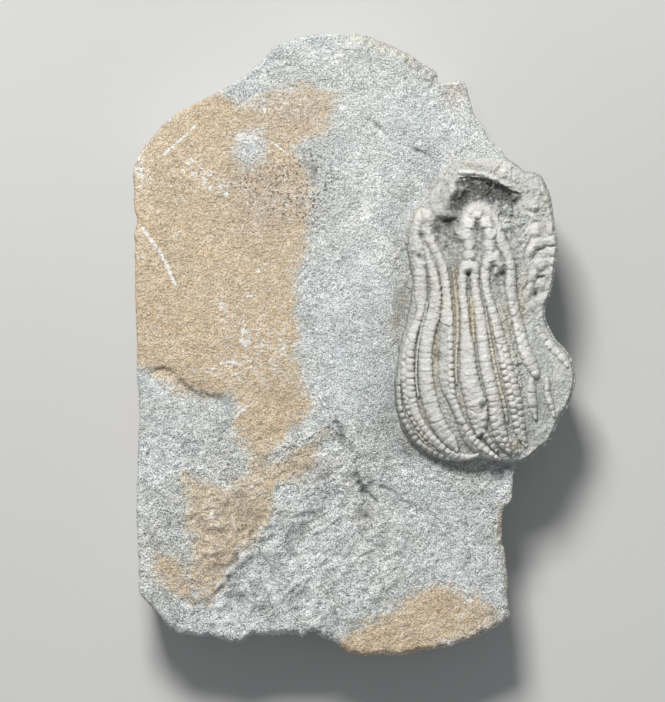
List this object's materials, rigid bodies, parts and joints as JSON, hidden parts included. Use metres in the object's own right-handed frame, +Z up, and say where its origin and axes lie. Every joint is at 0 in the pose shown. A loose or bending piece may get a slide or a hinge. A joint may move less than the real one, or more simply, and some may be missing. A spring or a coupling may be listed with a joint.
{
  "type": "crinoid fossil",
  "caption": "Crinoid crown in relief on an irregular plate of grey, iron-stained siltstone, its arms hanging from a broken cup and curling in at their tips",
  "frame": {"origin": "under the middle of the plate, on its flat back face, at the centre of the bounding box seen from above", "axes": "+Z up out of the plate's fossil side; +Y along the plate's length, toward the end the crown's cup points to; +X toward the edge the crown lies on"},
  "size_m": [0.0886, 0.1246, 0.029],
  "materials": {
    "siltstone": "matte, fine-grained, with brown iron stains",
    "fossil_calcite": "matte, lightly weathered"
  },
  "bodies": {
    "root": {"matrix_slab": "siltstone", "cup_rim": "fossil_calcite", "cup_wall_left": "fossil_calcite", "cup_wall_right": "fossil_calcite", "cup_floor_plates": "fossil_calcite", "fork_plates_left": "fossil_calcite", "first_centre_plate": "fossil_calcite", "fork_plates_centre_left": "fossil_calcite", "fork_plates_centre_right": "fossil_calcite", "arm_left_edge": "fossil_calcite", "arm_left_outer": "fossil_calcite", "arm_left_middle": "fossil_calcite", "arm_left_inner": "fossil_calcite", "arm_centre_left": "fossil_calcite", "arm_centre": "fossil_calcite", "arm_centre_right": "fossil_calcite", "arm_broken_stub": "fossil_calcite", "arm_right": "fossil_calcite", "arm_right_buried": "fossil_calcite", "arm_far_right": "fossil_calcite", "arm_lobe_edge": "fossil_calcite", "arm_margin_inner": "fossil_calcite", "arm_margin_outer": "fossil_calcite"}
  },
  "joints": []
}
